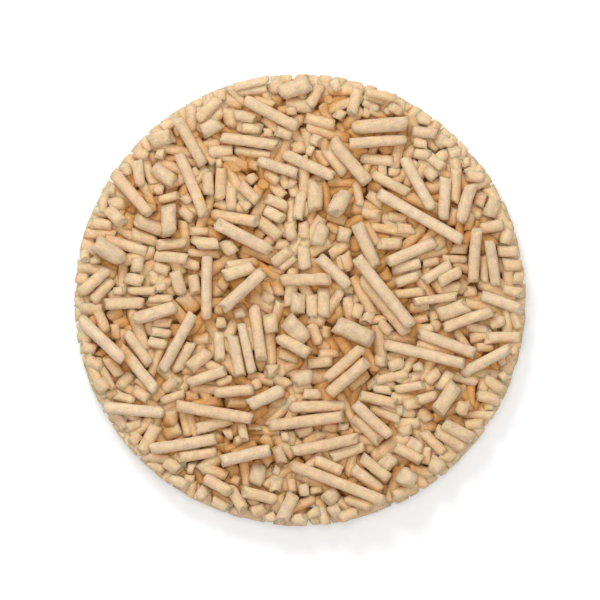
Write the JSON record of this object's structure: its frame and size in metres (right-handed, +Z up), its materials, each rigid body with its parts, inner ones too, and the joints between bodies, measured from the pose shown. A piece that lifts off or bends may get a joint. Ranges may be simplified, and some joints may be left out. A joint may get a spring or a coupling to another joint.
{
  "type": "cat litter pellets",
  "caption": "Round, shallow bed of cream plant-fibre cat litter pellets: short broken rods lying every way over a flat-based core, with loose rods on top.",
  "frame": {"origin": "middle of the flat underside of the bed", "axes": "+Z up out of the litter, +X to the right and +Y to the top of the picture, which looks straight down"},
  "size_m": [0.0902, 0.0899, 0.0123],
  "materials": {
    "settled_fibre": "matt, dry pressed plant fibre",
    "pellet_fibre": "matt, dry pressed plant fibre"
  },
  "bodies": {
    "root": {"litter_bed": "settled_fibre", "pellet_01": "pellet_fibre", "pellet_02": "pellet_fibre", "pellet_03": "pellet_fibre", "pellet_04": "pellet_fibre", "pellet_05": "pellet_fibre", "pellet_06": "pellet_fibre", "pellet_07": "pellet_fibre", "pellet_08": "pellet_fibre", "pellet_09": "pellet_fibre", "pellet_10": "pellet_fibre", "pellet_11": "pellet_fibre", "pellet_12": "pellet_fibre", "pellet_13": "pellet_fibre", "pellet_14": "pellet_fibre", "pellet_15": "pellet_fibre", "pellet_16": "pellet_fibre", "pellet_17": "pellet_fibre", "pellet_18": "pellet_fibre", "pellet_19": "pellet_fibre", "pellet_20": "pellet_fibre", "pellet_21": "pellet_fibre", "pellet_22": "pellet_fibre", "pellet_23": "pellet_fibre", "pellet_24": "pellet_fibre", "pellet_25": "pellet_fibre", "pellet_26": "pellet_fibre", "pellet_27": "pellet_fibre", "pellet_28": "pellet_fibre", "pellet_29": "pellet_fibre", "pellet_30": "pellet_fibre", "pellet_31": "pellet_fibre", "pellet_32": "pellet_fibre", "pellet_33": "pellet_fibre", "pellet_34": "pellet_fibre", "pellet_35": "pellet_fibre", "pellet_36": "pellet_fibre", "pellet_37": "pellet_fibre", "pellet_38": "pellet_fibre", "pellet_39": "pellet_fibre", "pellet_40": "pellet_fibre", "pellet_41": "pellet_fibre", "pellet_42": "pellet_fibre", "pellet_43": "pellet_fibre", "pellet_44": "pellet_fibre", "pellet_45": "pellet_fibre", "pellet_46": "pellet_fibre", "pellet_47": "pellet_fibre", "pellet_48": "pellet_fibre", "pellet_49": "pellet_fibre", "pellet_50": "pellet_fibre", "pellet_51": "pellet_fibre", "pellet_52": "pellet_fibre", "pellet_53": "pellet_fibre", "pellet_54": "pellet_fibre", "pellet_55": "pellet_fibre", "pellet_56": "pellet_fibre", "pellet_57": "pellet_fibre", "pellet_58": "pellet_fibre", "pellet_59": "pellet_fibre"}
  },
  "joints": []
}
